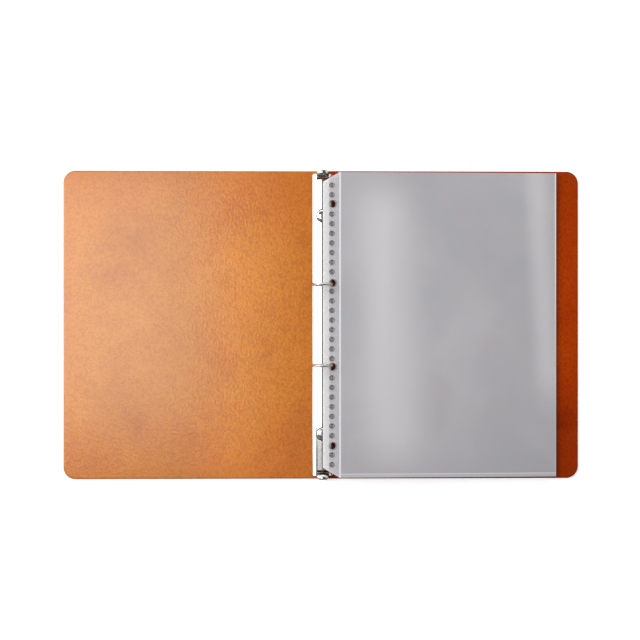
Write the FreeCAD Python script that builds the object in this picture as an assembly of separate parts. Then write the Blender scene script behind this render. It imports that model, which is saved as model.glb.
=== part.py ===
import FreeCAD, Part

import math
import os

from FreeCAD import Vector as V

# Ring-bound portfolio case, lying open and flat.
# Millimetres. +X runs from the front cover (left) to the back cover (right), +Y runs along
# the spine towards the head of the case, +Z is up. The origin is on the table under the middle
# of the open case.

# ---------------------------------------------------------------- driving dimensions
CASE_W = 512.0          # open case, front edge to back edge
CASE_H = 306.0          # head to tail
LEATHER_T = 3.0         # single thick hide, burnished edges
CORNER_R = 12.0         # outer corners of both covers
EDGE_R = 1.0            # rounded, burnished edge
SPINE_X = 1.0           # the spine's middle; the front cover is 2 mm wider than the back cover
FOLD_HALF = 13.0        # spine's middle to each fold axis
FOLD_GAP = 0.2          # clearance between a cover's rolled edge and the spine panel

PLATE_W = 20.5          # ring mechanism: arched, nickel-plated steel cover plate
PLATE_L = 298.5
PLATE_T = 0.8
PLATE_CROWN = 5.8       # top of the arch above the leather
PLATE_ARCH_R = 18.0
PLATE_SHOULDER_R = 1.6
PLATE_LIP_R = 1.0
PLATE_LIP_IN = 8.2      # inner end of the rolled lip, from the middle
PLATE_CHAMFER = 1.0
RING_SLOT_IN = 5.25     # slots that the ring wires rise through, open at the plate's edge
RING_SLOT_HALF = 1.7
RING_SLOT_Z = 2.6
PLATE_END_NOTCH = 5.6   # depth of the notch that each lever stands in
PLATE_END_NOTCH_HALF = 6.1

BLADE_PIVOT_X = 8.9     # rocking edge of each blade, from the middle
BLADE_PIVOT_Z = 1.75    # above the leather
BLADE_LEN = 8.7
BLADE_T = 0.9
BLADE_CLOSED_DEG = 3.0  # the inner edges sit this far down when the rings are shut
BLADE_HALF_L = 143.0

RING_R = 9.0            # centre line of the round rings
WIRE_R = 1.3
RING_Z = 9.0            # ring centre above the leather
RING_Y = 40.0           # two rings, 80 mm apart
TIP_GAP = 0.05          # half the gap where the ring halves meet

RIVET_Y = 108.0
RIVET_HEAD_R = 6.0
RIVET_HEAD_RIM = 5.95   # top of the head's straight rim, above the leather
RIVET_HEAD_TOP = 7.1    # top of the dome
RIVET_SHANK_R = 2.3
RIVET_BORE_R = 2.35
SPACER_R = 3.2
BACK_CAP_R = 5.5
BACK_CAP_T = 1.0

LEVER_Y = 146.9         # lever pivot, from the middle
LEVER_Z = 1.9           # above the leather
LEVER_W = 11.0
LEVER_T = 1.2
LEVER_LEAN_DEG = 22.0
LEVER_LEN = 12.6
LEVER_BARREL_R = 1.45
LEVER_TOE = 4.8
PIN_R = 0.6
PIN_BORE_R = 0.65

LEAVES = 10             # clear pockets, numbered from the top
LEAF_W = 231.8
LEAF_H = 301.4
FILM_T = 0.09           # each pocket is two films, welded on three sides and open at the head
POCKET_GAP = 0.06
LEAF_PITCH = 0.32
LEAF_LOW = -1.50        # middle of the lowest leaf, from the ring's centre
LEAF_EDGE_LOW = 0.05    # inner edge of the lowest leaf, from the ring's centre
LEAF_FAN = 0.04         # each leaf above lies this much further out
LEAF_SLOPE_DEG = 1.72   # the leaves slope down from the rings to the back cover
LEAF_CUT_X = 16.0       # cut corners beside the levers
LEAF_CUT_Y = 9.5
LEAF_FILE_EDGE = 9.30   # inner edge to the middle of the large holes
LEAF_SMALL_BACK = 0.95  # the small holes lie this much nearer to the inner edge
SMALL_R = 2.1
LARGE_R = 3.42
HOLE_PITCH = 9.5        # 30-hole punching
LARGE_Y = (119.4, 41.4, -41.4, -119.4)
BINDING_W = 15.6        # punched strip, from the inner edge to the pocket's first weld
WELD_W = 1.8
WELD_TAIL = 3.5

# ---------------------------------------------------------------- derived
T = LEATHER_T
Z0 = T                                  # the leather's inner face
XF, XB = SPINE_X - FOLD_HALF, SPINE_X + FOLD_HALF
HY = CASE_H / 2
RING_C = (SPINE_X, Z0 + RING_Z)

os.makedirs("parts", exist_ok=True)


def save(name, shape):
    shape = shape.removeSplitter()
    solids = shape.Solids
    assert solids and all(s.isValid() and s.isClosed() for s in solids), name
    out = solids[0] if len(solids) == 1 else Part.makeCompound(solids)
    out.exportStep("parts/%s.step" % name)
    b = out.BoundBox
    print("%-18s solids %d  vol %.1f  x %.2f..%.2f y %.2f..%.2f z %.2f..%.2f" % (
        name, len(solids), out.Volume, b.XMin, b.XMax, b.YMin, b.YMax, b.ZMin, b.ZMax))
    return out


def box(x0, x1, y0, y1, z0, z1):
    return Part.makeBox(x1 - x0, y1 - y0, z1 - z0, V(x0, y0, z0))


def cyl(r, h, p, d=V(0, 0, 1)):
    return Part.makeCylinder(r, h, p, d)


def prism(points, y0, y1):
    """Polygon in x, z pulled along y."""
    pts = [V(x, y0, z) for x, z in points]
    return Part.Face(Part.makePolygon(pts + [pts[0]])).extrude(V(0, y1 - y0, 0))


def rotated(shape, x, z, deg, axis=V(0, 1, 0)):
    s = shape.copy()
    s.rotate(V(x, 0, z), axis, deg)
    return s


# ---------------------------------------------------------------- leather
def cover(x_fold, x_edge):
    """One cover: a flat hide with two rounded outer corners and a rolled edge along its fold axis."""
    s = 1 if x_edge > x_fold else -1
    lo, hi = min(x_fold, x_edge), max(x_fold, x_edge)
    body = box(lo, hi, -HY, HY, 0, T)
    corners = [e for e in body.Edges
               if abs(e.Vertexes[0].X - x_edge) < 1e-6 and abs(e.Vertexes[1].X - x_edge) < 1e-6
               and abs(e.Vertexes[0].Z - e.Vertexes[1].Z) > 1]
    body = body.makeFillet(CORNER_R, corners)
    rim = []
    for e in body.Edges:
        b = e.BoundBox
        flat = abs(b.ZMax - b.ZMin) < 1e-6
        on_fold = abs(b.XMin - x_fold) < 1e-6 and abs(b.XMax - x_fold) < 1e-6
        if flat and not on_fold:
            rim.append(e)
    body = body.makeFillet(EDGE_R, rim)
    roll = cyl(T / 2, CASE_H - 0.6, V(x_fold, -HY + 0.3, T / 2), V(0, 1, 0))
    return body.fuse(roll)


save("front_cover", cover(XF, -CASE_W / 2))
save("back_cover", cover(XB, CASE_W / 2))

spine = box(XF + T / 2 + FOLD_GAP, XB - T / 2 - FOLD_GAP, -HY, HY, 0, T)
for y in (RIVET_Y, -RIVET_Y):
    spine = spine.cut(cyl(RIVET_BORE_R, T + 2, V(SPINE_X, y, -1)))
    spine = spine.cut(cyl(BACK_CAP_R + 0.1, BACK_CAP_T + 1, V(SPINE_X, y, -1)))
save("spine_panel", spine)


# ---------------------------------------------------------------- ring mechanism, cover plate
def plate_face(y):
    """Closed arch section with rolled lips, in the plane at y. x from the spine's middle, z above the leather."""
    ca = PLATE_CROWN - PLATE_ARCH_R
    rs, w = PLATE_SHOULDER_R, PLATE_W / 2
    sx = w - rs
    sz = ca + math.sqrt((PLATE_ARCH_R - rs) ** 2 - sx ** 2)
    rl = PLATE_LIP_R
    lx, lz = w - rl, 0.15 + rl

    def p(x, z):
        return V(SPINE_X + x, y, Z0 + z)

    def half(off, side):
        """Corner points of the outer (off 0) or inner (off PLATE_T) line on one side, lip to arch."""
        ra, rr, ll = PLATE_ARCH_R - off, rs - off, rl - off
        k = ra / math.hypot(sx, sz - ca)
        a = (sx * k, ca + (sz - ca) * k)
        mid = math.atan2(sz - ca, sx) / 2
        m = (sx + rr * math.cos(mid), sz + rr * math.sin(mid))
        return [(side * x, z) for x, z in [
            (PLATE_LIP_IN, 0.15 + off), (lx, 0.15 + off),
            (lx + ll * math.cos(-math.pi / 4), lz + ll * math.sin(-math.pi / 4)),
            (lx + ll, lz), (w - off, sz), m, a]]

    def edges(off):
        L, R = half(off, -1), half(off, 1)
        top = (0.0, PLATE_CROWN - off)
        return [
            Part.LineSegment(p(*L[0]), p(*L[1])).toShape(),
            Part.Arc(p(*L[1]), p(*L[2]), p(*L[3])).toShape(),
            Part.LineSegment(p(*L[3]), p(*L[4])).toShape(),
            Part.Arc(p(*L[4]), p(*L[5]), p(*L[6])).toShape(),
            Part.Arc(p(*L[6]), p(*top), p(*R[6])).toShape(),
            Part.Arc(p(*R[6]), p(*R[5]), p(*R[4])).toShape(),
            Part.LineSegment(p(*R[4]), p(*R[3])).toShape(),
            Part.Arc(p(*R[3]), p(*R[2]), p(*R[1])).toShape(),
            Part.LineSegment(p(*R[1]), p(*R[0])).toShape(),
        ], L[0], R[0]

    outer, lo, ro = edges(0.0)
    inner, li, ri = edges(PLATE_T)
    ends = [Part.LineSegment(p(*lo), p(*li)).toShape(), Part.LineSegment(p(*ro), p(*ri)).toShape()]
    wire = Part.Wire(Part.__sortEdges__(outer + inner + ends))
    return Part.Face(wire)


def under_arch(y0, y1, top_off):
    """Everything under the arch's outer (0) or inner surface, used to seat pieces on it."""
    ca = PLATE_CROWN - PLATE_ARCH_R
    drum = cyl(PLATE_ARCH_R - top_off, y1 - y0, V(SPINE_X, y0, Z0 + ca), V(0, 1, 0))
    return drum


plate = plate_face(-PLATE_L / 2).extrude(V(0, PLATE_L, 0))
for y in (RING_Y, -RING_Y):
    for s in (1, -1):
        xs = sorted([SPINE_X + s * RING_SLOT_IN, SPINE_X + s * (PLATE_W / 2 + 1)])
        plate = plate.cut(box(xs[0], xs[1], y - RING_SLOT_HALF, y + RING_SLOT_HALF, Z0 + RING_SLOT_Z, Z0 + 12))
for y in (RIVET_Y, -RIVET_Y):
    plate = plate.cut(cyl(RIVET_BORE_R, 12, V(SPINE_X, y, Z0)))
for s in (1, -1):
    ye = s * PLATE_L / 2
    ys = sorted([ye + s, ye - s * PLATE_END_NOTCH])
    plate = plate.cut(box(SPINE_X - PLATE_END_NOTCH_HALF, SPINE_X + PLATE_END_NOTCH_HALF,
                          ys[0], ys[1], Z0 - 1, Z0 + 12))
    plate = plate.cut(cyl(PIN_R, PLATE_W + 4, V(SPINE_X - PLATE_W / 2 - 2, s * LEVER_Y, Z0 + LEVER_Z), V(1, 0, 0)))
    for t in (1, -1):
        xo = SPINE_X + t * PLATE_W / 2
        tri = [V(xo + t, ye + s, Z0 - 1), V(xo - t * (PLATE_CHAMFER + 1), ye + s, Z0 - 1),
               V(xo + t, ye - s * (PLATE_CHAMFER + 1), Z0 - 1)]
        plate = plate.cut(Part.Face(Part.makePolygon(tri + [tri[0]])).extrude(V(0, 0, 14)))
save("cover_plate", plate)


# ---------------------------------------------------------------- blades and ring halves
def blade_profile(s, half_t, root, tip):
    """Flat strip running inwards from its rocking edge, on side s, at its closed angle."""
    px, pz = SPINE_X + s * BLADE_PIVOT_X, Z0 + BLADE_PIVOT_Z
    a = math.radians(BLADE_CLOSED_DEG)
    d, n = (-s * math.cos(a), -math.sin(a)), (-s * math.sin(a), math.cos(a))

    def at(l, t):
        return (px + d[0] * l + n[0] * t, pz + d[1] * l + n[1] * t)
    return [at(root, -half_t), at(tip, -half_t), at(tip, half_t), at(root, half_t)], (px, pz), at


def blade(s):
    pts, (px, pz), _ = blade_profile(s, BLADE_T / 2, 0.0, BLADE_LEN)
    b = prism(pts, -BLADE_HALF_L, BLADE_HALF_L)
    b = b.fuse(cyl(BLADE_T / 2, 2 * BLADE_HALF_L, V(px, -BLADE_HALF_L, pz), V(0, 1, 0)))
    for y in (RIVET_Y, -RIVET_Y):
        b = b.cut(cyl(SPACER_R + 0.9, 8, V(SPINE_X, y, Z0)))
    return b


def ring_half(s, y):
    """Round wire from the tip at the top to its foot on the blade."""
    cx, cz = RING_C
    start, end = math.pi / 2, math.radians(-58)

    def pt(a):
        return V(cx + s * RING_R * math.cos(a), y, cz + RING_R * math.sin(a))
    path = Part.Wire([Part.Arc(pt(start), pt((start + end) / 2), pt(end)).toShape()])
    prof = Part.Wire([Part.Circle(pt(start), V(1, 0, 0), WIRE_R).toShape()])
    wire = path.makePipeShell([prof], True, True)
    wire = Part.Solid(wire) if not wire.Solids else wire.Solids[0]
    _, _, at = blade_profile(s, 0, 0, 0)
    low = prism([at(-6, BLADE_T / 2), at(14, BLADE_T / 2), at(14, -12), at(-6, -12)], y - 4, y + 4)
    wire = wire.cut(low)
    gap = box(cx - TIP_GAP, cx + TIP_GAP, y - 3, y + 3, cz, cz + 14)
    wire = wire.cut(gap)
    best = max(wire.Solids, key=lambda q: q.Volume)
    # interlocking tip: a small tongue on the right half enters a socket in the left half
    tongue_r, tongue_l = 0.55, 0.6
    tip = V(cx, y, cz + RING_R)
    if s > 0:
        best = best.fuse(cyl(tongue_r, tongue_l + 0.3, V(cx - tongue_l, y, tip.z), V(1, 0, 0)))
    else:
        slot = cyl(tongue_r + 0.12, tongue_l + 0.4, V(cx - tongue_l - 0.25, y, tip.z), V(1, 0, 0))
        slot = slot.fuse(box(cx - tongue_l - 0.25, cx + 0.2, y - tongue_r - 0.12, y + tongue_r + 0.12,
                             tip.z - 2.5, tip.z))
        best = best.cut(slot)
    return max(best.removeSplitter().Solids, key=lambda q: q.Volume)


save("left_blade", blade(-1))
save("right_blade", blade(1))
for name, y in (("upper", RING_Y), ("lower", -RING_Y)):
    save("%s_ring_left_half" % name, ring_half(-1, y))
    save("%s_ring_right_half" % name, ring_half(1, y))


# ---------------------------------------------------------------- rivets, spacers, back caps
def rivet(y):
    """Domed head seated on the arch, and its shank down to the back cap."""
    h = RIVET_HEAD_TOP - RIVET_HEAD_RIM
    R = (RIVET_HEAD_R ** 2 + h * h) / (2 * h)
    ball = Part.makeSphere(R, V(SPINE_X, y, Z0 + RIVET_HEAD_TOP - R))
    head = ball.common(cyl(RIVET_HEAD_R, 10, V(SPINE_X, y, Z0 + 3.4)))
    head = head.cut(under_arch(y - 10, y + 10, 0.0))
    head = max(head.Solids, key=lambda q: q.Volume)
    shank = cyl(RIVET_SHANK_R, T + PLATE_CROWN + 0.2 - BACK_CAP_T, V(SPINE_X, y, BACK_CAP_T))
    return head.fuse(shank)


def spacer(y):
    tube = cyl(SPACER_R, PLATE_CROWN, V(SPINE_X, y, Z0)).cut(cyl(RIVET_BORE_R, 9, V(SPINE_X, y, Z0 - 1)))
    return tube.common(under_arch(y - 10, y + 10, PLATE_T + 0.01))


def back_cap(y):
    cap = cyl(BACK_CAP_R, BACK_CAP_T, V(SPINE_X, y, 0))
    rim = [e for e in cap.Edges if abs(e.BoundBox.ZMax) < 1e-6 and e.Length > 10]
    return cap.makeFillet(0.45, rim)


for name, y in (("upper", RIVET_Y), ("lower", -RIVET_Y)):
    save("%s_rivet" % name, rivet(y))
    save("%s_spacer" % name, spacer(y))
    save("%s_rivet_back_cap" % name, back_cap(y))


# ---------------------------------------------------------------- levers
def lever(s):
    """Paddle that stands in the plate's end notch. Built for the head end, then mirrored for the tail."""
    py, pz = LEVER_Y, Z0 + LEVER_Z
    x0, x1 = SPINE_X - LEVER_W / 2, SPINE_X + LEVER_W / 2
    a = math.radians(LEVER_LEAN_DEG)
    d, n = V(0, math.sin(a), math.cos(a)), V(0, math.cos(a), -math.sin(a))

    def at(l, t):
        return V(0, py, pz) + d * l + n * t

    h = LEVER_T / 2
    pts = [at(0, -h), at(LEVER_LEN, -h), at(LEVER_LEN, h), at(0, h)]
    pts = [V(x0, q.y, q.z) for q in pts]
    tab = Part.Face(Part.makePolygon(pts + [pts[0]])).extrude(V(LEVER_W, 0, 0))
    top = at(LEVER_LEN - 1.0, 0)
    tab = tab.fuse(cyl(1.1, LEVER_W, V(x0, top.y, top.z), V(1, 0, 0)))
    # rounded upper corners of the paddle
    r = 3.0
    for t in (1, -1):
        cxr = SPINE_X + t * (LEVER_W / 2 - r)
        c = at(LEVER_LEN - r + 0.9, 0)
        corner = Part.makeBox(r + 1, 6, r + 2)
        corner.translate(V(0, -3, 0))
        corner = corner.cut(cyl(r, 8, V(0, -4, 0), V(0, 1, 0)))
        if t < 0:
            corner = corner.mirror(V(0, 0, 0), V(1, 0, 0))
        corner.rotate(V(0, 0, 0), V(1, 0, 0), -LEVER_LEAN_DEG)
        corner.translate(V(cxr, c.y, c.z))
        tab = tab.cut(corner)
    barrel = cyl(LEVER_BARREL_R, LEVER_W, V(x0, py, pz), V(1, 0, 0))
    toe = box(SPINE_X - 1.1, SPINE_X + 1.1, py - LEVER_TOE, py, pz - LEVER_BARREL_R - 0.2, pz - LEVER_BARREL_R + 0.25)
    out = tab.fuse(barrel).fuse(toe)
    out = out.cut(cyl(PIN_BORE_R, LEVER_W + 4, V(x0 - 2, py, pz), V(1, 0, 0)))
    out = max(out.removeSplitter().Solids, key=lambda q: q.Volume)
    return out if s > 0 else out.mirror(V(0, 0, 0), V(0, 1, 0))


for name, s in (("upper", 1), ("lower", -1)):
    save("%s_lever" % name, lever(s))
    save("%s_lever_pin" % name,
         cyl(PIN_R, PLATE_W - 0.4, V(SPINE_X - PLATE_W / 2 + 0.2, s * LEVER_Y, Z0 + LEVER_Z), V(1, 0, 0)))


# ---------------------------------------------------------------- clear pocket leaves
LEAF_A = math.radians(LEAF_SLOPE_DEG)


def leaf_point(u, t, y):
    """u along the leaf from the ring's centre, t off the leaf's plane through the ring's centre."""
    return V(RING_C[0] + u * math.cos(LEAF_A) + t * math.sin(LEAF_A), y,
             RING_C[1] - u * math.sin(LEAF_A) + t * math.cos(LEAF_A))


def slab(u0, u1, t0, t1, y0, y1):
    pts = [leaf_point(u, t, y0) for u, t in ((u0, t0), (u1, t0), (u1, t1), (u0, t1))]
    return Part.Face(Part.makePolygon(pts + [pts[0]])).extrude(V(0, y1 - y0, 0))


def hole(u, y, r, t0, t1):
    n = V(math.sin(LEAF_A), 0, math.cos(LEAF_A))
    return cyl(r, t1 - t0 + 2, leaf_point(u, t0 - 1, y), n)


def back_film(i):
    """Whole sheet of leaf i (0 is the lowest): binding strip with its holes, and the pocket's back."""
    off = LEAF_LOW + LEAF_PITCH * i
    u0 = LEAF_EDGE_LOW + LEAF_FAN * i
    t0, t1 = off - POCKET_GAP / 2 - FILM_T, off - POCKET_GAP / 2
    hy = LEAF_H / 2
    sheet = slab(u0, u0 + LEAF_W, t0, t1, -hy, hy)
    tools = []
    for s in (1, -1):
        k = 1.1
        a = leaf_point(u0 - LEAF_CUT_X * (k - 1), t0 - 1, s * (hy - LEAF_CUT_Y * k))
        b = leaf_point(u0 + LEAF_CUT_X * k, t0 - 1, s * (hy + LEAF_CUT_Y * (k - 1)))
        c = leaf_point(u0 - LEAF_CUT_X * (k - 1), t0 - 1, s * (hy + LEAF_CUT_Y * (k - 1)))
        a, b, c = (V(q.x, q.y, leaf_point(0, t0 - 1, 0).z - 2) for q in (a, b, c))
        tools.append(Part.Face(Part.makePolygon([a, b, c, a])).extrude(V(0, 0, 6)))
    for k in range(30):
        if k in (2, 10, 19, 27):
            continue
        tools.append(hole(u0 + LEAF_FILE_EDGE - LEAF_SMALL_BACK, (14.5 - k) * HOLE_PITCH, SMALL_R, t0, t1))
    for y in LARGE_Y:
        tools.append(hole(u0 + LEAF_FILE_EDGE, y, LARGE_R, t0, t1))
    sheet = sheet.cut(Part.makeCompound(tools))
    return max(sheet.Solids, key=lambda q: q.Volume)


def front_film(i):
    """Front of the pocket. Its welds along the binding strip, the outer edge and the tail sit on the back film."""
    off = LEAF_LOW + LEAF_PITCH * i
    u0 = LEAF_EDGE_LOW + LEAF_FAN * i
    lo, mid, hi = off - POCKET_GAP / 2, off + POCKET_GAP / 2, off + POCKET_GAP / 2 + FILM_T
    hy = LEAF_H / 2
    ua, ub = u0 + BINDING_W, u0 + LEAF_W
    sheet = slab(ua, ub, lo, hi, -hy, hy)
    cavity = slab(ua + WELD_W, ub - WELD_W, lo - 1, mid, -hy + WELD_TAIL, hy + 5)
    sheet = sheet.cut(cavity)
    return max(sheet.Solids, key=lambda q: q.Volume)


for i in range(LEAVES):
    save("pocket_%02d_back_film" % (LEAVES - i), back_film(i))
    save("pocket_%02d_front_film" % (LEAVES - i), front_film(i))
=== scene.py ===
import math

import bmesh
import bpy
import numpy as np
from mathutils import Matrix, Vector, geometry


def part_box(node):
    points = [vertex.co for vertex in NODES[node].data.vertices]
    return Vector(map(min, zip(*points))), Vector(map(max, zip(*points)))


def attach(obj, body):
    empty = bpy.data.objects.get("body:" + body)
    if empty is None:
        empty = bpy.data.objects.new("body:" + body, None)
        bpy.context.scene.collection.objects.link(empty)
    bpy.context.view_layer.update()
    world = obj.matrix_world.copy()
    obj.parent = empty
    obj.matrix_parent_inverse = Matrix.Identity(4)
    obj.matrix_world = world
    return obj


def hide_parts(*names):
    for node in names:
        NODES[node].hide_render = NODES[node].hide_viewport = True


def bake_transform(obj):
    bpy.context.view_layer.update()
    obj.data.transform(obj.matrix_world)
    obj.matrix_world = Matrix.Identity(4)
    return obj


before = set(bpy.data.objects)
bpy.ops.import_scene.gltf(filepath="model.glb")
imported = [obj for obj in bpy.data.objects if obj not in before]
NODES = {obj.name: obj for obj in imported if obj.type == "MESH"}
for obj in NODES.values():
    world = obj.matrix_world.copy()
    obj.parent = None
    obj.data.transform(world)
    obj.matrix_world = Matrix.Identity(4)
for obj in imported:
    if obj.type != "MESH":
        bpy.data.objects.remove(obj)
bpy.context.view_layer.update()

MM = 0.001

# ------------------------------------------------------------------ facts of the frame, in mm
SPINE_X = 1.0
FOLD = 13.0
LEATHER_T = 3.0
CORNER_R = 12.0
HALF_W, HALF_H = 256.0, 153.0
RING_Z = 12.0
LEAVES = 10
LEAF_W, LEAF_H = 231.8, 301.4
LEAF_PITCH, LEAF_LOW = 0.32, -1.50
LEAF_EDGE_LOW, LEAF_FAN = 0.05, 0.04
LEAF_A = math.radians(1.72)
CUT_X, CUT_Y = 16.0, 9.5
FILE_EDGE, SMALL_BACK = 9.30, 0.95
SMALL_R, LARGE_R = 2.1, 3.42
LARGE_Y = (119.4, 41.4, -41.4, -119.4)
BINDING_W, WELD_W, WELD_TAIL = 15.6, 1.8, 3.5
FILM_T, POCKET_GAP = 0.09, 0.06


# ------------------------------------------------------------------ small helpers
def smooth_noise(x, y, scale, seed, octaves=2):
    """Deterministic soft value noise in -1..1 on arrays."""
    out = np.zeros_like(x, float)
    amp, total = 1.0, 0.0
    for o in range(octaves):
        s = scale / (2 ** o)
        xi, yi = x / s + seed * 7.31 + o * 3.1, y / s - seed * 4.17 + o * 5.7
        x0, y0 = np.floor(xi), np.floor(yi)
        fx, fy = xi - x0, yi - y0
        fx, fy = fx * fx * (3 - 2 * fx), fy * fy * (3 - 2 * fy)

        def h(a, b):
            v = np.sin(a * 127.1 + b * 311.7 + seed * 17.13 + o * 9.2) * 43758.5453
            return (v - np.floor(v)) * 2 - 1
        a = h(x0, y0) * (1 - fx) + h(x0 + 1, y0) * fx
        b = h(x0, y0 + 1) * (1 - fx) + h(x0 + 1, y0 + 1) * fx
        out += amp * (a * (1 - fy) + b * fy)
        total += amp
        amp *= 0.5
    return out / total


def step(lo, hi, v):
    t = np.clip((v - lo) / (hi - lo), 0, 1)
    return t * t * (3 - 2 * t)


def new_object(name, verts_mm, faces, smooth=True):
    me = bpy.data.meshes.new(name)
    me.from_pydata([tuple(MM * c for c in v) for v in np.asarray(verts_mm, float)], [], [tuple(int(i) for i in f) for f in faces])
    me.validate()
    me.update()
    if smooth:
        me.polygons.foreach_set("use_smooth", [True] * len(me.polygons))
    ob = bpy.data.objects.new(name, me)
    bpy.context.scene.collection.objects.link(ob)
    return ob


def keep_rest(ob, extra=None):
    """Rest positions, in mm, kept with the mesh so that a pattern stays put when the mesh bends."""
    me = ob.data
    co = np.zeros(len(me.vertices) * 3, np.float32)
    me.vertices.foreach_get("co", co)
    at = me.attributes.new("rest_mm", "FLOAT_VECTOR", "POINT")
    at.data.foreach_set("vector", co * 1000.0)
    for key, values in (extra or {}).items():
        a = me.attributes.new(key, "FLOAT", "POINT")
        a.data.foreach_set("value", np.asarray(values, np.float32))


# ------------------------------------------------------------------ materials
class Mat:
    def __init__(self, name):
        self.m = bpy.data.materials.new(name)
        self.m.use_nodes = True
        self.t = self.m.node_tree
        self.t.nodes.clear()
        self.out = self.node("ShaderNodeOutputMaterial")
        self.b = self.node("ShaderNodeBsdfPrincipled")
        self.link(self.b.outputs[0], self.out.inputs["Surface"])

    def node(self, kind, **props):
        n = self.t.nodes.new(kind)
        for k, v in props.items():
            setattr(n, k, v)
        return n

    def link(self, a, b):
        self.t.links.new(a, b)

    def set(self, name, value):
        self.b.inputs[name].default_value = value

    def attr(self, name):
        return self.node("ShaderNodeAttribute", attribute_name=name)

    def math(self, op, a, b=None, clamp=False):
        n = self.node("ShaderNodeMath", operation=op, use_clamp=clamp)
        for i, v in enumerate((a, b)):
            if v is None:
                continue
            if isinstance(v, (int, float)):
                n.inputs[i].default_value = v
            else:
                self.link(v, n.inputs[i])
        return n.outputs[0]

    def noise(self, vec, scale, detail=3.0, rough=0.55, distortion=0.0):
        n = self.node("ShaderNodeTexNoise")
        n.inputs["Scale"].default_value = scale
        n.inputs["Detail"].default_value = detail
        n.inputs["Roughness"].default_value = rough
        n.inputs["Distortion"].default_value = distortion
        self.link(vec, n.inputs["Vector"])
        return n.outputs["Fac"]

    def ramp(self, fac, stops, interp="EASE"):
        n = self.node("ShaderNodeValToRGB")
        n.color_ramp.interpolation = interp
        el = n.color_ramp.elements
        while len(el) > 1:
            el.remove(el[-1])
        el[0].position, el[0].color = stops[0][0], (*stops[0][1], 1)
        for p, c in stops[1:]:
            e = el.new(p)
            e.color = (*c, 1)
        self.link(fac, n.inputs["Fac"])
        return n.outputs["Color"]

    def range(self, fac, a, b, c, d, clamp=True):
        n = self.node("ShaderNodeMapRange", clamp=clamp)
        for i, v in enumerate((a, b, c, d)):
            n.inputs[i + 1].default_value = v
        self.link(fac, n.inputs[0])
        return n.outputs[0]

    def soft(self, fac, a, b, c, d):
        n = self.node("ShaderNodeMapRange", clamp=True, interpolation_type="SMOOTHSTEP")
        for i, v in enumerate((a, b, c, d)):
            n.inputs[i + 1].default_value = v
        self.link(fac, n.inputs[0])
        return n.outputs[0]

    def mix(self, fac, a, b, blend="MIX"):
        n = self.node("ShaderNodeMix", data_type="RGBA", blend_type=blend)
        for i, v in ((0, fac), (6, a), (7, b)):
            if isinstance(v, (int, float)):
                n.inputs[i].default_value = v
            elif isinstance(v, tuple):
                n.inputs[i].default_value = (*v, 1)
            else:
                self.link(v, n.inputs[i])
        return n.outputs[2]

    def bump(self, height, strength, distance, normal=None):
        n = self.node("ShaderNodeBump")
        n.inputs["Strength"].default_value = strength
        n.inputs["Distance"].default_value = distance
        self.link(height, n.inputs["Height"])
        if normal is not None:
            self.link(normal, n.inputs["Normal"])
        return n.outputs[0]


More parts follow.
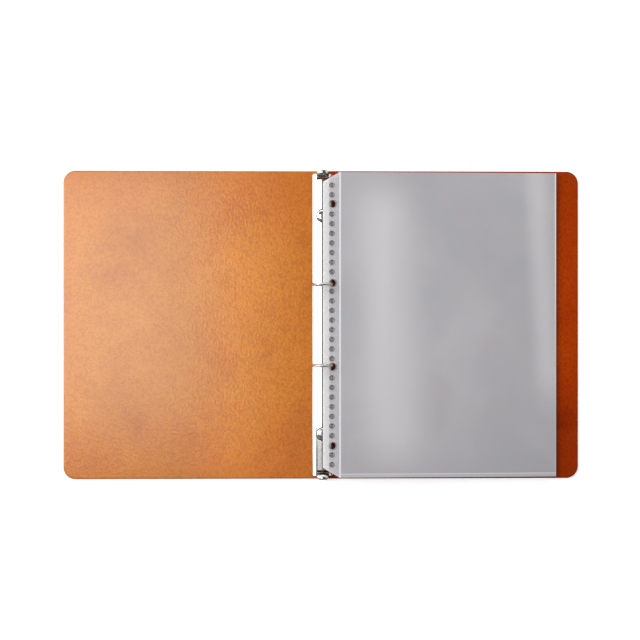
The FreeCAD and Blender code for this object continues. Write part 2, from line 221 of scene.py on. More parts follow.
def leather_material(name, base, dark, light, edge, specular, ior, rough, painted_sheen_and_shade):
    """Painted sheen and shade: (x0, x1, colour there) and (y0, y1, colour there) multiplied in over the given rest
    positions, mm, lighter where the lamp's sheen falls and darker where less light reaches.
    """
    m = Mat(name)
    pos = m.attr("rest_mm").outputs["Vector"]
    edge_mm = m.attr("edge_mm").outputs["Fac"]
    xyz = m.node("ShaderNodeSeparateXYZ")
    m.link(pos, xyz.inputs[0])
    # follicle grain: small soft pebbles with fine creases between them
    warp = m.node("ShaderNodeVectorMath", operation="ADD")
    wn = m.node("ShaderNodeTexNoise")
    wn.inputs["Scale"].default_value = 0.35
    wn.inputs["Detail"].default_value = 2.0
    m.link(pos, wn.inputs["Vector"])
    ws = m.node("ShaderNodeVectorMath", operation="SCALE")
    ws.inputs["Scale"].default_value = 1.6
    m.link(wn.outputs["Color"], ws.inputs[0])
    m.link(pos, warp.inputs[0])
    m.link(ws.outputs[0], warp.inputs[1])
    vor = m.node("ShaderNodeTexVoronoi", feature="SMOOTH_F1")
    vor.inputs["Scale"].default_value = 0.52
    vor.inputs["Smoothness"].default_value = 0.75
    vor.inputs["Randomness"].default_value = 1.0
    m.link(warp.outputs[0], vor.inputs["Vector"])
    pebble = m.range(vor.outputs["Distance"], 0.05, 0.75, 1.0, 0.0)
    fine = m.noise(pos, 1.25, 4.0, 0.6)
    pull = m.noise(pos, 0.22, 5.0, 0.62, 0.6)
    cloud = m.noise(pos, 0.013, 4.0, 0.55)
    blot = m.noise(pos, 0.045, 3.0, 0.6)
    warm = m.noise(pos, 0.024, 2.5, 0.5, 0.5)
    # colour
    tone = m.math("ADD", m.math("MULTIPLY", cloud, 0.88), m.math("MULTIPLY", blot, 0.12))
    col = m.ramp(tone, [(0.32, dark), (0.50, base), (0.68, light)])
    col = m.mix(m.range(warm, 0.40, 0.62, 0.0, 0.55), col, (0.97, 0.86, 1.0), "MULTIPLY")
    # painted sheen and shade, multiplied in by rest position
    for axis, lo, hi, tint in painted_sheen_and_shade:
        col = m.mix(m.range(xyz.outputs[axis], lo, hi, 0.0, 1.0), col, tint, "MULTIPLY")
    spec = m.math("ADD", m.math("MULTIPLY", fine, 0.5), m.math("MULTIPLY", pebble, 0.5))
    grain = m.ramp(spec, [(0.30, (0.66, 0.54, 0.42)), (0.52, (0.98, 0.98, 0.98)), (0.80, (1.20, 1.30, 1.44))], "LINEAR")
    col = m.mix(0.46, col, grain, "MULTIPLY")
    pulled = m.ramp(pull, [(0.36, (0.80, 0.74, 0.66)), (0.50, (1, 1, 1)), (0.66, (1.10, 1.12, 1.15))], "LINEAR")
    col = m.mix(0.07, col, pulled, "MULTIPLY")
    rim = m.range(edge_mm, 0.35, 1.9, 1.0, 0.0)
    rim = m.math("MULTIPLY", rim, m.range(m.noise(pos, 0.12, 3.0), 0.3, 0.7, 0.72, 1.0))
    col = m.mix(rim, col, edge)
    soft_rim = m.math("MULTIPLY", m.range(edge_mm, 1.0, 14.0, 0.42, 0.0), m.range(cloud, 0.3, 0.7, 0.4, 1.2))
    col = m.mix(soft_rim, col, dark)
    m.link(col, m.b.inputs["Base Color"])
    r = m.math("ADD", m.math("MULTIPLY", fine, 0.10), rough - 0.05)
    r = m.math("SUBTRACT", r, m.math("MULTIPLY", rim, 0.05))
    m.link(r, m.b.inputs["Roughness"])
    m.set("IOR", ior)
    m.set("Specular IOR Level", specular)
    n1 = m.bump(pebble, 0.34, 0.00016)
    n2 = m.bump(fine, 0.30, 0.00010, n1)
    n3 = m.bump(pull, 0.22, 0.0003, n2)
    m.link(n3, m.b.inputs["Normal"])
    return m.m


def metal_material(name, colour, rough, scratch=0.25, stretch=(1, 1, 1), dirt=0.25, metallic=1.0):
    m = Mat(name)
    co = m.node("ShaderNodeTexCoord").outputs["Object"]
    mp = m.node("ShaderNodeMapping")
    mp.inputs["Scale"].default_value = stretch
    m.link(co, mp.inputs["Vector"])
    s = m.noise(mp.outputs[0], 900.0, 3.0, 0.6)
    w = m.noise(co, 45.0, 3.0, 0.5)
    d = m.noise(co, 160.0, 4.0, 0.65)
    c = m.ramp(w, [(0.3, tuple(0.90 * v for v in colour)), (0.7, colour)])
    c = m.mix(m.range(d, 0.62, 0.80, 0.0, dirt), c, (0.42, 0.38, 0.33))
    m.link(c, m.b.inputs["Base Color"])
    m.link(m.math("ADD", m.math("MULTIPLY", s, 0.10), rough - 0.04), m.b.inputs["Roughness"])
    m.set("Metallic", metallic)
    n = m.bump(s, scratch, 0.00002)
    m.link(m.bump(w, 0.10, 0.00012, n), m.b.inputs["Normal"])
    return m.m


def film_material(name, body_alpha=0.45, strip_alpha=0.085):
    """Milky clear film. u_mm: distance from the pocket's inner edge; the hole attribute is 1 at a punched edge, where a
    dark ring of painted shade is laid around each hole.
    """
    m = Mat(name)
    pos = m.attr("rest_mm").outputs["Vector"]
    u = m.attr("u_mm").outputs["Fac"]
    hole_rim_shade = m.attr("hole_rim_shade").outputs["Fac"]
    xyz = m.node("ShaderNodeSeparateXYZ")
    m.link(pos, xyz.inputs[0])
    y = xyz.outputs["Y"]
    hy = LEAF_H / 2

    def mul(*parts):
        out = parts[0]
        for q in parts[1:]:
            out = m.math("MULTIPLY", out, q)
        return out

    def line(v, at, flat, soft, gain=1.0):
        d = m.math("ABSOLUTE", m.math("SUBTRACT", v, at))
        return mul(m.soft(d, flat + soft, flat, 0.0, 1.0), gain)

    zone = m.range(u, BINDING_W - 0.1, BINDING_W + 0.1, 0.0, 1.0)
    weld_and_edge_highlight = line(u, BINDING_W + 0.9, 0.55, 0.6)
    # the outer fold: denser film with a painted highlight that fades towards the tail end
    weld_and_edge_highlight = m.math("MAXIMUM", weld_and_edge_highlight, mul(line(u, LEAF_W - 0.6, 0.4, 0.7, 0.95), m.soft(y, -110.0, 120.0, 0.15, 1.0)))
    weld_and_edge_highlight = m.math("MAXIMUM", weld_and_edge_highlight, mul(line(y, -hy + WELD_TAIL, 0.25, 0.35, 0.62), zone))
    weld_and_edge_highlight = m.math("MAXIMUM", weld_and_edge_highlight, mul(m.range(y, -hy + WELD_TAIL, -hy + WELD_TAIL - 0.4, 0.0, 0.22), zone))
    cloud = m.noise(pos, 0.011, 4.0, 0.5, 0.3)
    tint = m.noise(pos, 0.021, 3.0, 0.55)
    speck = m.noise(pos, 0.9, 3.0, 0.6)
    body = m.ramp(cloud, [(0.32, (0.545, 0.535, 0.565)), (0.50, (0.575, 0.565, 0.590)), (0.70, (0.620, 0.610, 0.635))])
    body = m.mix(m.soft(tint, 0.48, 0.74, 0.0, 0.24), body, (0.60, 0.53, 0.55))
    body = m.mix(m.soft(tint, 0.52, 0.28, 0.0, 0.20), body, (0.50, 0.53, 0.57))
    # slack film: a soft pale run along the pocket and another inside its outer edge, painted highlights standing in for
    # reflections off the slack film; darker towards the tail end and the outer edge, painted shade

    def sheen_band(x, width, y0, y1, gain):
        lean = m.math("ADD", xyz.outputs["X"], mul(y, 0.05))
        d = m.math("ABSOLUTE", m.math("SUBTRACT", lean, x))
        return mul(m.soft(d, width, 0.0, 0.0, 1.0), m.soft(y, y0, y0 - 70.0, 1.0, 0.0), m.soft(y, y1, y1 + 60.0, 1.0, 0.0), gain)
    # painted highlights: two pale runs standing in for reflections off the slack film
    lift = m.math("ADD", sheen_band(66.0, 50.0, -100.0, 105.0, 0.95), sheen_band(222.0, 20.0, -40.0, 150.0, 0.72))
    body = m.mix(lift, body, (0.76, 0.75, 0.765))
    # painted shade: darker towards the tail end and the outer edge
    painted_falloff_shade = mul(m.soft(y, -20.0, -150.0, 0.0, 1.0), m.range(xyz.outputs["X"], 60.0, 232.0, 0.30, 1.0))
    body = m.mix(painted_falloff_shade, body, (0.91, 0.905, 0.92), "MULTIPLY")
    strip = m.ramp(speck, [(0.3, (0.76, 0.76, 0.80)), (0.7, (0.83, 0.83, 0.87))])
    lip = m.range(u, 6.6, 5.2, 0.0, 1.0)
    strip = m.mix(lip, strip, (0.92, 0.92, 0.92))
    col = m.mix(zone, strip, body)
    col = m.mix(weld_and_edge_highlight, col, (0.84, 0.84, 0.86))
    # painted shade: dark, denser ring around each punched hole
    col = m.mix(mul(hole_rim_shade, 0.96), col, (0.11, 0.076, 0.058))
    m.link(col, m.b.inputs["Base Color"])
    a = m.math("ADD", mul(zone, body_alpha - strip_alpha), strip_alpha)
    a = m.math("ADD", a, mul(weld_and_edge_highlight, 0.26))
    a = m.math("ADD", a, mul(lip, 0.10))
    a = m.math("ADD", a, mul(hole_rim_shade, 0.70), clamp=True)
    m.link(a, m.b.inputs["Alpha"])
    m.link(m.range(speck, 0.3, 0.7, 0.30, 0.38), m.b.inputs["Roughness"])
    m.set("Specular IOR Level", 0.5)
    m.link(m.bump(speck, 0.012, 0.0001, m.bump(cloud, 0.05, 0.004)), m.b.inputs["Normal"])
    return m.m


# Lit and shaded copies of one hide: the back copy's darker, redder colour and weak gloss are painted shade
M_FRONT_LIT = leather_material("leather_front_lit", (0.545, 0.190, 0.0055), (0.485, 0.152, 0.0030), (0.590, 0.218, 0.0090),
                           (0.36, 0.080, 0.005), 0.40, 1.85, 0.20,
                           # painted sheen paler towards the outer edge, painted shade darker towards the spine, the
                           # head and the tail
                           (("X", -140.0, -90.0, (1.14, 1.10, 0.98)), ("X", -190.0, -250.0, (1.12, 1.12, 1.50)), ("X", -80.0, -12.0, (0.88, 0.80, 0.70)),
                            ("Y", 70.0, 150.0, (0.96, 0.83, 0.68)), ("Y", -70.0, -150.0, (0.95, 0.82, 0.64))))
M_BACK_SHADED = leather_material("leather_back_shaded", (0.380, 0.041, 0.0006), (0.290, 0.027, 0.0004), (0.410, 0.052, 0.0010),
                          (0.12, 0.009, 0.001), 0.08, 1.50, 0.32,
                          # painted shade, darker towards the tail and a little towards the head
                          (("Y", 60.0, 150.0, (0.88, 0.90, 1.0)), ("Y", -20.0, -145.0, (0.64, 0.58, 1.0))))
M_CHROME = metal_material("nickel_plate_polished", (0.66, 0.65, 0.635), 0.09, 0.10, (1, 0.15, 1), 0.10)
M_RING = metal_material("nickel_ring_wire", (0.60, 0.59, 0.57), 0.10, 0.15, (1, 1, 1), 0.12)
M_RIVET = metal_material("nickel_rivet_dome", (0.62, 0.61, 0.59), 0.07, 0.08, (1, 1, 1), 0.08)
M_LEVER = metal_material("nickel_lever", (0.55, 0.54, 0.52), 0.10, 0.12, (1, 1, 0.2), 0.15)
M_STEEL = metal_material("steel_blade", (0.62, 0.61, 0.60), 0.30, 0.40, (1, 0.06, 1), 0.30)
M_CAP = metal_material("nickel_back_cap", (0.80, 0.78, 0.75), 0.18, 0.25, (1, 1, 1), 0.25)
# painted shadow: dark dull ring under each rivet head
M_SEAM_SHADOW = metal_material("painted_rivet_contact_shadow", (0.024, 0.019, 0.014), 0.80, 0.40, (1, 1, 1), 0.05, 0.0)
M_FILM = film_material("pocket_film")


# ------------------------------------------------------------------ leather
def leather(name, side, material):
    """Half of the hide, from the middle of the spine to the outer edge, with rounded corners and full-round edges."""
    x_out = side * HALF_W
    rows = [0, .04, .12, .25, .42, .65, .95, 1.3, 1.5, 2.0, 2.7, 3.6, 4.8, 6.2, 8.0, 10.0, 12.0, 16.0]
    ys = np.array([-HALF_H + r for r in rows] + list(np.linspace(-HALF_H + 16, HALF_H - 16, 58)[1:-1]) +
                  [HALF_H - r for r in reversed(rows)])
    span = abs(x_out - SPINE_X)
    cols = [0, .03, .1, .22, .42, .7, 1.05, 1.5, 2.2, 3.4, 5.2, 8.0, 12.0]
    fold = FOLD
    near = [0.0, 3.0, 6.0, 8.6, 9.6] + list(np.linspace(10.2, 15.8, 15)) + [17.0, 20.0]
    mid = list(np.linspace(20.0, span - 12.0, 46)[1:-1])
    us = np.array(near + mid + [span - c for c in reversed(cols)])          # distance from the spine's middle
    U, Y = np.meshgrid(us, ys, indexing="ij")
    over = np.maximum(np.abs(Y) - (HALF_H - CORNER_R), 0)
    inset = CORNER_R - np.sqrt(np.maximum(CORNER_R ** 2 - over ** 2, 0))
    # the last 20 mm of each row slides in to follow the corner
    k = np.clip((U - (span - 40)) / 40, 0, 1)
    U2 = U - inset * k
    X = SPINE_X + side * U2
    # distance to the outline, corners included; the middle of the spine is no edge
    dx = span - U2
    dy = HALF_H - np.abs(Y)
    d = np.minimum(dx, dy)
    corner = (dx < CORNER_R) & (dy < CORNER_R)
    dc = CORNER_R - np.hypot(CORNER_R - dx, CORNER_R - dy)
    d = np.where(corner, dc, d)
    d = np.maximum(d, 0)
    re = LEATHER_T / 2
    drop = re * (1 - np.sqrt(np.maximum(1 - (1 - np.minimum(d, re) / re) ** 2, 0)))
    # very slight unevenness of a thick hide, none at its edges, under the mechanism or at the seam
    away = step(2.0, 30.0, d) * step(15.0, 40.0, U2)
    wave = 0.10 * smooth_noise(X, Y, 70.0, 3, 2) * away
    fall = 0.18 * step(12.0, 0.0, d) * step(15.0, 40.0, U2)
    top = LEATHER_T - drop + np.minimum(wave, 0) - fall * 0.35 * (1 - drop / re)
    bottom = drop + np.zeros_like(top)
    n, mrow = U.shape
    idx_top = np.arange(n * mrow).reshape(n, mrow)
    idx_bot = idx_top + n * mrow
    on_edge = d < 1e-4
    top = np.where(on_edge, LEATHER_T / 2, top)
    bottom = np.where(on_edge, LEATHER_T / 2, bottom)
    idx_bot = np.where(on_edge, idx_top, idx_bot)
    verts = np.concatenate([np.stack([X, Y, top], -1).reshape(-1, 3), np.stack([X, Y, bottom], -1).reshape(-1, 3)])
    faces = []
    for i in range(n - 1):
        for j in range(mrow - 1):
            a, b, c, e = idx_top[i, j], idx_top[i + 1, j], idx_top[i + 1, j + 1], idx_top[i, j + 1]
            f = [a, b, c, e] if side > 0 else [a, e, c, b]
            faces.append(f)
            a, b, c, e = idx_bot[i, j], idx_bot[i + 1, j], idx_bot[i + 1, j + 1], idx_bot[i, j + 1]
            f = [a, e, c, b] if side > 0 else [a, b, c, e]
            faces.append(f)
    for j in range(mrow - 1):                                            # closing wall in the middle of the spine
        f = [idx_top[0, j], idx_top[0, j + 1], idx_bot[0, j + 1], idx_bot[0, j]]
        faces.append(f if side > 0 else f[::-1])
    clean = []
    for f in faces:
        g = []
        for v in f:
            if v not in g:
                g.append(v)
        if len(g) >= 3:
            clean.append(g)
    used = sorted({v for f in clean for v in f})
    new = {v: i for i, v in enumerate(used)}
    ob = new_object(name, verts[used], [[new[v] for v in f] for f in clean])
    dist = np.concatenate([d.reshape(-1), d.reshape(-1)])[used]
    me = ob.data
    bm = bmesh.new()
    bm.from_mesh(me)
    bmesh.ops.recalc_face_normals(bm, faces=bm.faces)
    for e in bm.edges:                                                   # the wall meets both faces at a sharp edge
        if all(abs(v.co.x - SPINE_X * MM) < 1e-7 for v in e.verts) and len(e.link_faces) == 2:
            flat = [f for f in e.link_faces if all(abs(v.co.x - SPINE_X * MM) < 1e-7 for v in f.verts)]
            if len(flat) == 1:
                e.smooth = False
    bm.to_mesh(me)
    bm.free()
    keep_rest(ob, {"edge_mm": dist})
    me.materials.append(material)
    return ob


front = leather("leather_hide_front", -1, M_FRONT_LIT)
back = leather("leather_hide_back", 1, M_BACK_SHADED)
for piece, cover, s in ((front, "front_cover", -1), (back, "back_cover", 1)):
    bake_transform(piece)
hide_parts("front_cover", "spine_panel")
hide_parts("back_cover")


# ------------------------------------------------------------------ clear pockets
def circle(cx, cy, r, n, phase=0.0):
    return [(cx + r * math.cos(phase + 2 * math.pi * k / n), cy + r * math.sin(phase + 2 * math.pi * k / n)) for k in range(n)]


LARGE_HOLES = [(FILE_EDGE, y, LARGE_R) for y in LARGE_Y]


def punched(slip):
    """Holes of one pocket; slip, mm: how far its row of small holes stands off the top pocket's."""
    return [(FILE_EDGE - SMALL_BACK, (14.5 - k) * 9.5 + slip, SMALL_R)
            for k in range(30) if k not in (2, 10, 19, 27)] + LARGE_HOLES


def film_plan(kind, slip=0.0):
    """Flat plan of a film in its own u, y: points and triangles. u runs from the inner edge outwards."""
    hy = LEAF_H / 2
    pts, edges, holes = [], [], []

    def loop(points):
        base = len(pts)
        pts.extend(points)
        edges.extend((base + k, base + (k + 1) % len(points)) for k in range(len(points)))

    def run(a, b, stepmm):
        n = max(1, int(round(math.dist(a, b) / stepmm)))
        return [(a[0] + (b[0] - a[0]) * k / n, a[1] + (b[1] - a[1]) * k / n) for k in range(n)]

    if kind == "back":
        corners = [(0, -hy + CUT_Y), (CUT_X, -hy), (LEAF_W, -hy), (LEAF_W, hy), (CUT_X, hy), (0, hy - CUT_Y)]
        left = 0.0
    else:
        corners = [(BINDING_W, -hy), (LEAF_W, -hy), (LEAF_W, hy), (BINDING_W, hy)]
        left = BINDING_W
    outline = []
    for a, b in zip(corners, corners[1:] + corners[:1]):
        outline += run(a, b, 5.0)
    loop(outline)
    if kind == "back":
        for hx, hyy, r in punched(slip):
            holes.append((hx, hyy, r))
            loop(circle(hx, hyy, r, 28))
            pts.extend(circle(hx, hyy, r + 0.45, 28, 0.11))
            pts.extend(circle(hx, hyy, r + 0.80, 28))
    us = []
    if kind == "back":
        us += [2.4, 4.8, 13.4, BINDING_W - 0.3]
    us += [BINDING_W + 0.35, BINDING_W + WELD_W, BINDING_W + WELD_W + 0.5]
    us += list(np.linspace(BINDING_W + WELD_W + 5, LEAF_W - 7, 38))
    us += [LEAF_W - 4, LEAF_W - 2.2, LEAF_W - 1.3, LEAF_W - 0.5]
    ys = [-hy + 0.5, -hy + 1.6, -hy + WELD_TAIL - 0.4, -hy + WELD_TAIL, -hy + WELD_TAIL + 0.5]
    ys += list(np.linspace(-hy + 8, hy - 8, 52)) + [hy - 4.6, hy - 2.4, hy - 1.0, hy - 0.4]
    for u in us:
        if u <= left:
            continue
        for y in ys:
            if kind == "back" and u < CUT_X and abs(y) > hy - CUT_Y + CUT_Y * u / CUT_X - 0.6:
                continue
            if any(math.hypot(u - hx, y - hyy) < r + 1.0 for hx, hyy, r in holes):
                continue
            pts.append((u, y))
    v, _, f, _, _, _ = geometry.delaunay_2d_cdt([Vector(p) for p in pts], edges, [], 0, 1e-5)
    v = np.array([tuple(p) for p in v])
    tris = []
    for t in f:
        c = v[list(t)].mean(0)
        if kind == "back" and (c[0] < 0 or (c[0] < CUT_X and abs(c[1]) > hy - CUT_Y + CUT_Y * c[0] / CUT_X)):
            continue
        if any(math.hypot(c[0] - hx, c[1] - hyy) < r * 0.985 for hx, hyy, r in holes):
            continue
        tris.append(list(t))
    return v, tris


SLIPS = (0.0, 2.0, -2.0)
PLANS = {("back", slip): film_plan("back", slip) for slip in SLIPS}
PLANS[("front", 0.0)] = film_plan("front")


def drape(u, y, k):
    """How far leaf k's middle surface stands off its flat plane, in mm: slack film between rings and outer edge."""
    free = step(18.0, 70.0, u)
    tail = step(LEAF_W, LEAF_W - 30.0, u)
    bulge = 0.9 * np.sin(np.clip((u - 18) / (LEAF_W - 18), 0, 1) * math.pi) * (0.35 + 0.65 * step(0, 10, k + 1.0))
    ridge = 0.60 * np.exp(-((u - 60 - 0.045 * (y + 40)) / 15.0) ** 2) * step(-150, -60, y) * step(140, 30, y)
    valley = -0.45 * np.exp(-((u - 98 + 0.02 * y) / 24.0) ** 2)
    ripple = 0.32 * smooth_noise(u + 0.25 * y, y * 0.55, 62.0, 11, 2)
    outer = 0.42 * np.exp(-((u - 214) / 9.0) ** 2) * (0.55 + 0.45 * smooth_noise(u * 0, y, 90.0, 5, 1))
    return (bulge + (ridge + valley + ripple) * free * (0.35 + 0.65 * tail) + outer * step(-150, -130, y))


def pocket(k):
    """One clear pocket, k = 0 lowest. Two closed films in one piece."""
    off = LEAF_LOW + LEAF_PITCH * k
    u0 = LEAF_EDGE_LOW + LEAF_FAN * k
    verts, faces, along, hole_rim_shade = [], [], [], []
    base = 0
    ca, sa = math.cos(LEAF_A), math.sin(LEAF_A)
    number = LEAVES - k
    scale = 0.30 + 0.70 * (k / (LEAVES - 1.0))
    slip = 0.0 if k > 3 else SLIPS[1 + k % 2]
    for kind in ("back", "front"):
        plan, tris = PLANS[(kind, slip if kind == "back" else 0.0)]
        u, y = plan[:, 0], plan[:, 1]
        lift = drape(u, y, k) * scale
        hy = LEAF_H / 2
        inner = (u > BINDING_W + WELD_W + 0.2) & (u < LEAF_W - 1.9) & (y > -hy + WELD_TAIL + 0.2)
        if kind == "back":
            t0 = off - POCKET_GAP / 2 - FILM_T + lift
            t1 = t0 + FILM_T
        else:
            t0 = off - POCKET_GAP / 2 + 0.02 + lift + np.where(inner, POCKET_GAP - 0.02, 0.0)
            t1 = off + POCKET_GAP / 2 + FILM_T + lift
        uu = u0 + u
        for t in (t1, t0):
            X = SPINE_X + uu * ca + t * sa
            Z = RING_Z - uu * sa + t * ca
            verts.append(np.stack([X, y, Z], -1))
        n = len(plan)
        for a, b, c in tris:
            p = plan[[a, b, c]]
            area = (p[1][0] - p[0][0]) * (p[2][1] - p[0][1]) - (p[2][0] - p[0][0]) * (p[1][1] - p[0][1])
            if area < 0:
                b, c = c, b
            faces.append([base + a, base + b, base + c])
            faces.append([base + n + c, base + n + b, base + n + a])
        count = {}
        for t in tris:
            p = plan[t]
            area = (p[1][0] - p[0][0]) * (p[2][1] - p[0][1]) - (p[2][0] - p[0][0]) * (p[1][1] - p[0][1])
            o = t if area > 0 else [t[0], t[2], t[1]]
            for q in range(3):
                e = (o[q], o[(q + 1) % 3])
                count[e] = count.get(e, 0) + 1
        for (a, b) in count:
            if (b, a) not in count:
                faces.append([base + a, base + n + a, base + n + b, base + b])
        # painted shade around the holes, full on the top pocket only
        c = np.zeros(n)
        if kind == "back":
            for hx, hyy, r in punched(slip):
                c = np.maximum(c, step(r + 0.78, r + 0.47, np.hypot(u - hx, y - hyy)))
            if k < LEAVES - 1:
                c = 0.12 * c
        along += [u, u]
        hole_rim_shade += [c, c]
        base += 2 * n
    ob = new_object("pocket_leaf_%02d" % number, np.concatenate(verts), faces)
    bm = bmesh.new()
    bm.from_mesh(ob.data)
    for e in bm.edges:
        if len(e.link_faces) == 2 and e.calc_face_angle(0) > 0.8:
            e.smooth = False
    bm.to_mesh(ob.data)
    bm.free()
    keep_rest(ob, {"u_mm": np.concatenate(along), "hole_rim_shade": np.concatenate(hole_rim_shade)})
    ob.data.materials.append(M_FILM)
    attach(ob, "leaf_%02d" % number)
    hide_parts("pocket_%02d_back_film" % number, "pocket_%02d_front_film" % number)
    return ob


for k in range(LEAVES):
    pocket(k)


# ------------------------------------------------------------------ rivet heads
def lathe(name, profile, cx, cy, n=48):
    """profile: (r, z) from the axis at the bottom to the axis at the top, in mm."""
    verts, faces = [], []
    rings = []
    for r, z in profile:
        if r < 1e-6:
            rings.append([len(verts)])
            verts.append((cx, cy, z))
        else:
            rings.append(list(range(len(verts), len(verts) + n)))
            verts += [(cx + r * math.cos(2 * math.pi * k / n), cy + r * math.sin(2 * math.pi * k / n), z) for k in range(n)]
    for a, b in zip(rings, rings[1:]):
        for k in range(n):
            p, q = k, (k + 1) % n
            if len(a) == 1:
                faces.append([a[0], b[q], b[p]])
            elif len(b) == 1:
                faces.append([a[p], a[q], b[0]])
            else:
                faces.append([a[p], a[q], b[q], b[p]])
    return new_object(name, verts, faces)


def rivet(name, node):
    lo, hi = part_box(node)
    cx, cy = 500 * (lo.x + hi.x), 500 * (lo.y + hi.y)
    top, rim = 1000 * hi.z, 1000 * hi.z - 1.15
    prof = [(0, 1.0), (2.25, 1.0), (2.3, 1.05), (2.3, 7.4), (5.55, 7.55), (5.85, 7.65), (5.97, 7.9), (6.0, 8.3)]
    h = top - 8.55
    for a in np.linspace(4, 90, 16):
        t = math.radians(a)
        prof.append((6.0 * math.cos(t) ** 0.92 if a < 90 else 0.0, 8.55 + h * math.sin(t)))
    ob = lathe(name, prof, cx, cy, 64)
    ob.data.materials.append(M_RIVET)
    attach(ob, "spine")
    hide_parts(node)
    # painted contact shadow: a dark, dull ring where the head sits on the arched plate
    verts, faces, n, q = [], [], 72, 10
    for k in range(n):
        a = 2 * math.pi * k / n
        dx, dy = math.cos(a), math.sin(a)
        z = LEATHER_T + 5.8 - 18.0 + math.sqrt(18.0 ** 2 - (6.28 * dx) ** 2) + 0.10
        for j in range(q):
            b = 2 * math.pi * j / q
            verts.append((cx + (6.28 + 0.52 * math.cos(b)) * dx, cy + (6.28 + 0.52 * math.cos(b)) * dy, z + 0.24 * math.sin(b)))
    for k in range(n):
        for j in range(q):
            k2, j2 = (k + 1) % n, (j + 1) % q
            faces.append([k * q + j, k2 * q + j, k2 * q + j2, k * q + j2])
    ring = new_object(name.replace("dome", "seam"), verts, faces)
    ring.data.materials.append(M_SEAM_SHADOW)
    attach(ring, "spine")
    return ob


rivet("upper_rivet_dome", "upper_rivet")
rivet("lower_rivet_dome", "lower_rivet")

# ------------------------------------------------------------------ levers
LEVER_Y, LEVER_PZ = 146.9, 4.9
LEVER_HALF, LEVER_RUN, LEVER_T = 5.45, 10.6, 1.0
BARREL_R, BORE_R, TOE = 1.45, 0.65, 4.8


def lever(name, node, side):
    """Pressed paddle, crowned across its width and curling outwards to the thumb edge, on a rolled barrel."""
    verts, faces = [], []
    ns, nx = 34, 26
    ss = np.linspace(0.0, 1.0, ns)
    ang = np.radians(2.0 + 82.0 * np.clip(ss / 0.80, 0, 1) ** 1.9)
    mid = (ang[1:] + ang[:-1]) / 2
    cy = np.concatenate([[0], np.cumsum(np.sin(mid))]) * LEVER_RUN / (ns - 1)
    cz = np.concatenate([[0], np.cumsum(np.cos(mid))]) * LEVER_RUN / (ns - 1)
    width = LEVER_HALF * np.sqrt(np.clip(1 - np.clip((ss - 0.66) / 0.34, 0, 1) ** 4 * 0.55, 0.08, 1))
    for layer in (0, 1):                                                 # 0: face towards the rings, 1: outer face
        for i in range(ns):
            for j in range(nx + 1):
                v = -1 + 2 * j / nx
                x = width[i] * math.sin(v * math.pi / 2)
                rim = 1 - 0.55 * abs(math.sin(v * math.pi / 2)) ** 8
                half = LEVER_T / 2 * rim * (1 - 0.45 * ss[i] ** 10)
                crown = 2.3 * (0.15 + 0.85 * ss[i]) * (x / LEVER_HALF) ** 2
                t = crown + (half if layer else -half)
                verts.append((SPINE_X + x, side * (LEVER_Y + cy[i] + t * math.cos(ang[i])),
                              LEVER_PZ + cz[i] - t * math.sin(ang[i])))

    def at(layer, i, j):
        return layer * ns * (nx + 1) + i * (nx + 1) + j
    for i in range(ns - 1):
        for j in range(nx):
            faces.append([at(0, i, j), at(0, i, j + 1), at(0, i + 1, j + 1), at(0, i + 1, j)])
            faces.append([at(1, i, j), at(1, i + 1, j), at(1, i + 1, j + 1), at(1, i, j + 1)])
        faces.append([at(0, i, 0), at(0, i + 1, 0), at(1, i + 1, 0), at(1, i, 0)])
        faces.append([at(0, i, nx), at(1, i, nx), at(1, i + 1, nx), at(0, i + 1, nx)])
    for j in range(nx):
        faces.append([at(0, 0, j), at(1, 0, j), at(1, 0, j + 1), at(0, 0, j + 1)])
        faces.append([at(0, ns - 1, j), at(0, ns - 1, j + 1), at(1, ns - 1, j + 1), at(1, ns - 1, j)])
    # rolled barrel with its bore
    base, n = len(verts), 40
    for x in (-LEVER_HALF, LEVER_HALF):
        for r in (BARREL_R, BORE_R):
            for k in range(n):
                a = 2 * math.pi * k / n
                verts.append((SPINE_X + x, side * (LEVER_Y + r * math.cos(a)), LEVER_PZ + r * math.sin(a)))
    for k in range(n):
        q = (k + 1) % n
        o0, i0, o1, i1 = base, base + n, base + 2 * n, base + 3 * n
        faces += [[o0 + k, o1 + k, o1 + q, o0 + q], [i0 + k, i0 + q, i1 + q, i1 + k],
                  [o0 + k, o0 + q, i0 + q, i0 + k], [o1 + k, i1 + k, i1 + q, o1 + q]]
    # toe that works the blades
    base = len(verts)
    for x in (-1.1, 1.1):
        for y, z in ((-TOE, -1.65), (0.0, -1.65), (0.0, -1.20), (-TOE, -1.20)):
            verts.append((SPINE_X + x, side * (LEVER_Y + y), LEVER_PZ + z))
    b = base
    faces += [[b, b + 1, b + 2, b + 3], [b + 4, b + 7, b + 6, b + 5], [b, b + 4, b + 5, b + 1],
              [b + 1, b + 5, b + 6, b + 2], [b + 2, b + 6, b + 7, b + 3], [b + 3, b + 7, b + 4, b]]
    ob = new_object(name, verts, faces)
    bm = bmesh.new()
    bm.from_mesh(ob.data)
    bmesh.ops.recalc_face_normals(bm, faces=bm.faces)
    for e in bm.edges:
        if len(e.link_faces) == 2 and e.calc_face_angle(0) > 0.7:
            e.smooth = False
    bm.to_mesh(ob.data)
    bm.free()
    ob.data.materials.append(M_LEVER)
    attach(ob, node)
    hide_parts(node)
    return ob


lever("upper_lever_paddle", "upper_lever", 1)
lever("lower_lever_paddle", "lower_lever", -1)

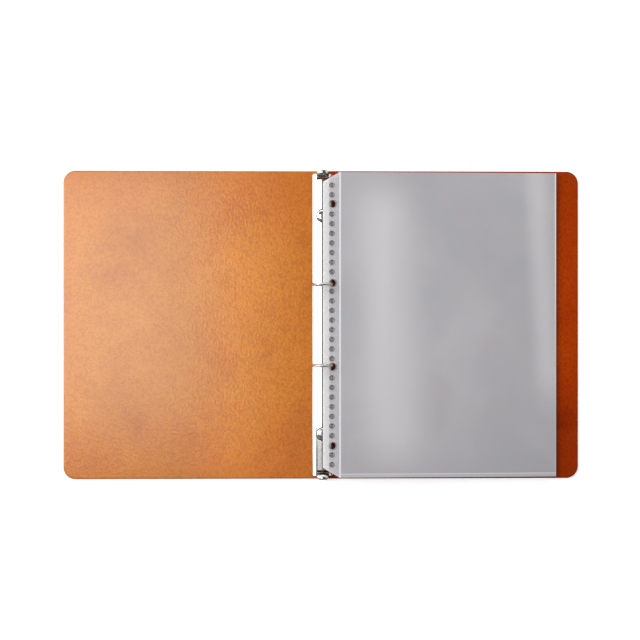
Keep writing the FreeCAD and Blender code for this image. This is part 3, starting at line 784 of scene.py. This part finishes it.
# ------------------------------------------------------------------ finishes of the carried-over parts
FINISH = {
    "cover_plate": M_CHROME, "left_blade": M_STEEL, "right_blade": M_STEEL,
    "upper_ring_left_half": M_RING, "upper_ring_right_half": M_RING,
    "lower_ring_left_half": M_RING, "lower_ring_right_half": M_RING,
    "upper_spacer": M_STEEL, "lower_spacer": M_STEEL,
    "upper_lever_pin": M_STEEL, "lower_lever_pin": M_STEEL,
    "upper_rivet_back_cap": M_CAP, "lower_rivet_back_cap": M_CAP,
}
for name, ob in NODES.items():
    if name in FINISH:
        ob.data.materials.clear()
        ob.data.materials.append(FINISH[name])
        ob.data.polygons.foreach_set("material_index", [0] * len(ob.data.polygons))

# ------------------------------------------------------------------ floor, lights, camera
floor = bpy.data.objects.new("floor", bpy.data.meshes.new("floor"))
floor.data.from_pydata([(-6, -6, 0), (6, -6, 0), (6, 6, 0), (-6, 6, 0)], [], [(0, 1, 2, 3)])
bpy.context.scene.collection.objects.link(floor)
fm = Mat("floor_white")
fm.set("Base Color", (0.90, 0.90, 0.90, 1))
fm.set("Roughness", 0.9)
fm.set("Specular IOR Level", 0.1)
fm.set("Emission Color", (1, 1, 1, 1))
fm.set("Emission Strength", 0.40)
floor.data.materials.append(fm.m)
floor.location.z = -0.0002

world = bpy.data.worlds.new("studio")
world.use_nodes = True
wt = world.node_tree
wc = wt.nodes.new("ShaderNodeTexCoord")
wx = wt.nodes.new("ShaderNodeSeparateXYZ")
wr = wt.nodes.new("ShaderNodeValToRGB")
wr.color_ramp.interpolation = "EASE"
wr.color_ramp.elements[0].position, wr.color_ramp.elements[0].color = 0.0, (0.55, 0.555, 0.57, 1)
wr.color_ramp.elements[1].position, wr.color_ramp.elements[1].color = 1.0, (0.18, 0.181, 0.185, 1)
el = wr.color_ramp.elements.new(0.42)
el.color = (0.18, 0.181, 0.185, 1)
wm = wt.nodes.new("ShaderNodeMapRange")                                  # open studio on the left, black flag on the right
wm.inputs[1].default_value, wm.inputs[2].default_value = -1.0, 1.0
wt.links.new(wc.outputs["Generated"], wx.inputs[0])
wt.links.new(wx.outputs["X"], wm.inputs[0])
wt.links.new(wm.outputs[0], wr.inputs["Fac"])
wt.links.new(wr.outputs["Color"], wt.nodes["Background"].inputs[0])
wt.nodes["Background"].inputs[1].default_value = 1.0
bpy.context.scene.world = world


def area(name, loc, target, sx, sy, power, colour=(1, 1, 1)):
    li = bpy.data.lights.new(name, "AREA")
    li.shape = "RECTANGLE"
    li.size, li.size_y = sx, sy
    li.energy = power
    li.color = colour
    ob = bpy.data.objects.new(name, li)
    ob.location = loc
    ob.rotation_euler = (Vector(target) - Vector(loc)).to_track_quat("-Z", "Y").to_euler()
    bpy.context.scene.collection.objects.link(ob)
    return ob


def overhead(name, x0, x1, y0, y1, z, radiance, colour=(1, 1, 1)):
    """Horizontal softbox facing down, given by its edges and its radiance."""
    sx, sy = x1 - x0, y1 - y0
    ob = area(name, ((x0 + x1) / 2, (y0 + y1) / 2, z), ((x0 + x1) / 2, (y0 + y1) / 2, 0), sx, sy, radiance * math.pi * sx * sy, colour)
    ob.rotation_euler = (0, 0, 0)
    ob.visible_camera = False
    return ob


overhead("key_softbox", -2.10, -0.20, -0.27, 0.44, 1.60, 2.9, (1.0, 0.99, 0.975))
overhead("tail_strip", -0.95, -0.08, -0.46, -0.30, 1.60, 0.65)
for name, loc, sx, sy, power in (("side_softbox", (-2.5, 0.9, 1.4), 3.2, 2.2, 86.0),
                                 ("back_softbox", (0.2, 2.8, 1.9), 4.0, 2.2, 56.0),
                                 ("right_softbox", (2.6, 0.8, 1.6), 3.0, 2.0, 20.0)):
    area(name, loc, (0.0, 0.0, 0.0), sx, sy, power, (1.0, 0.99, 0.98)).visible_camera = False

scene = bpy.context.scene
scene.view_settings.view_transform = "Standard"
scene.view_settings.look = "None"
scene.cycles.transparent_max_bounces = 64
scene.cycles.max_bounces = 10

cam_data = bpy.data.cameras.new("camera")
cam = bpy.data.objects.new("camera", cam_data)
scene.collection.objects.link(cam)
DIST = 1.2
TILT = math.radians(1.15)
look = Vector((-0.0017, 0.0048, 0.003))
cam.location = look + DIST * Vector((-math.sin(TILT), 0, math.cos(TILT)))
cam.rotation_euler = (0.0, -TILT, 0.0)
cam_data.sensor_width = 36
cam_data.lens = 36 * DIST / 0.636
cam_data.clip_end = 30
scene.camera = cam
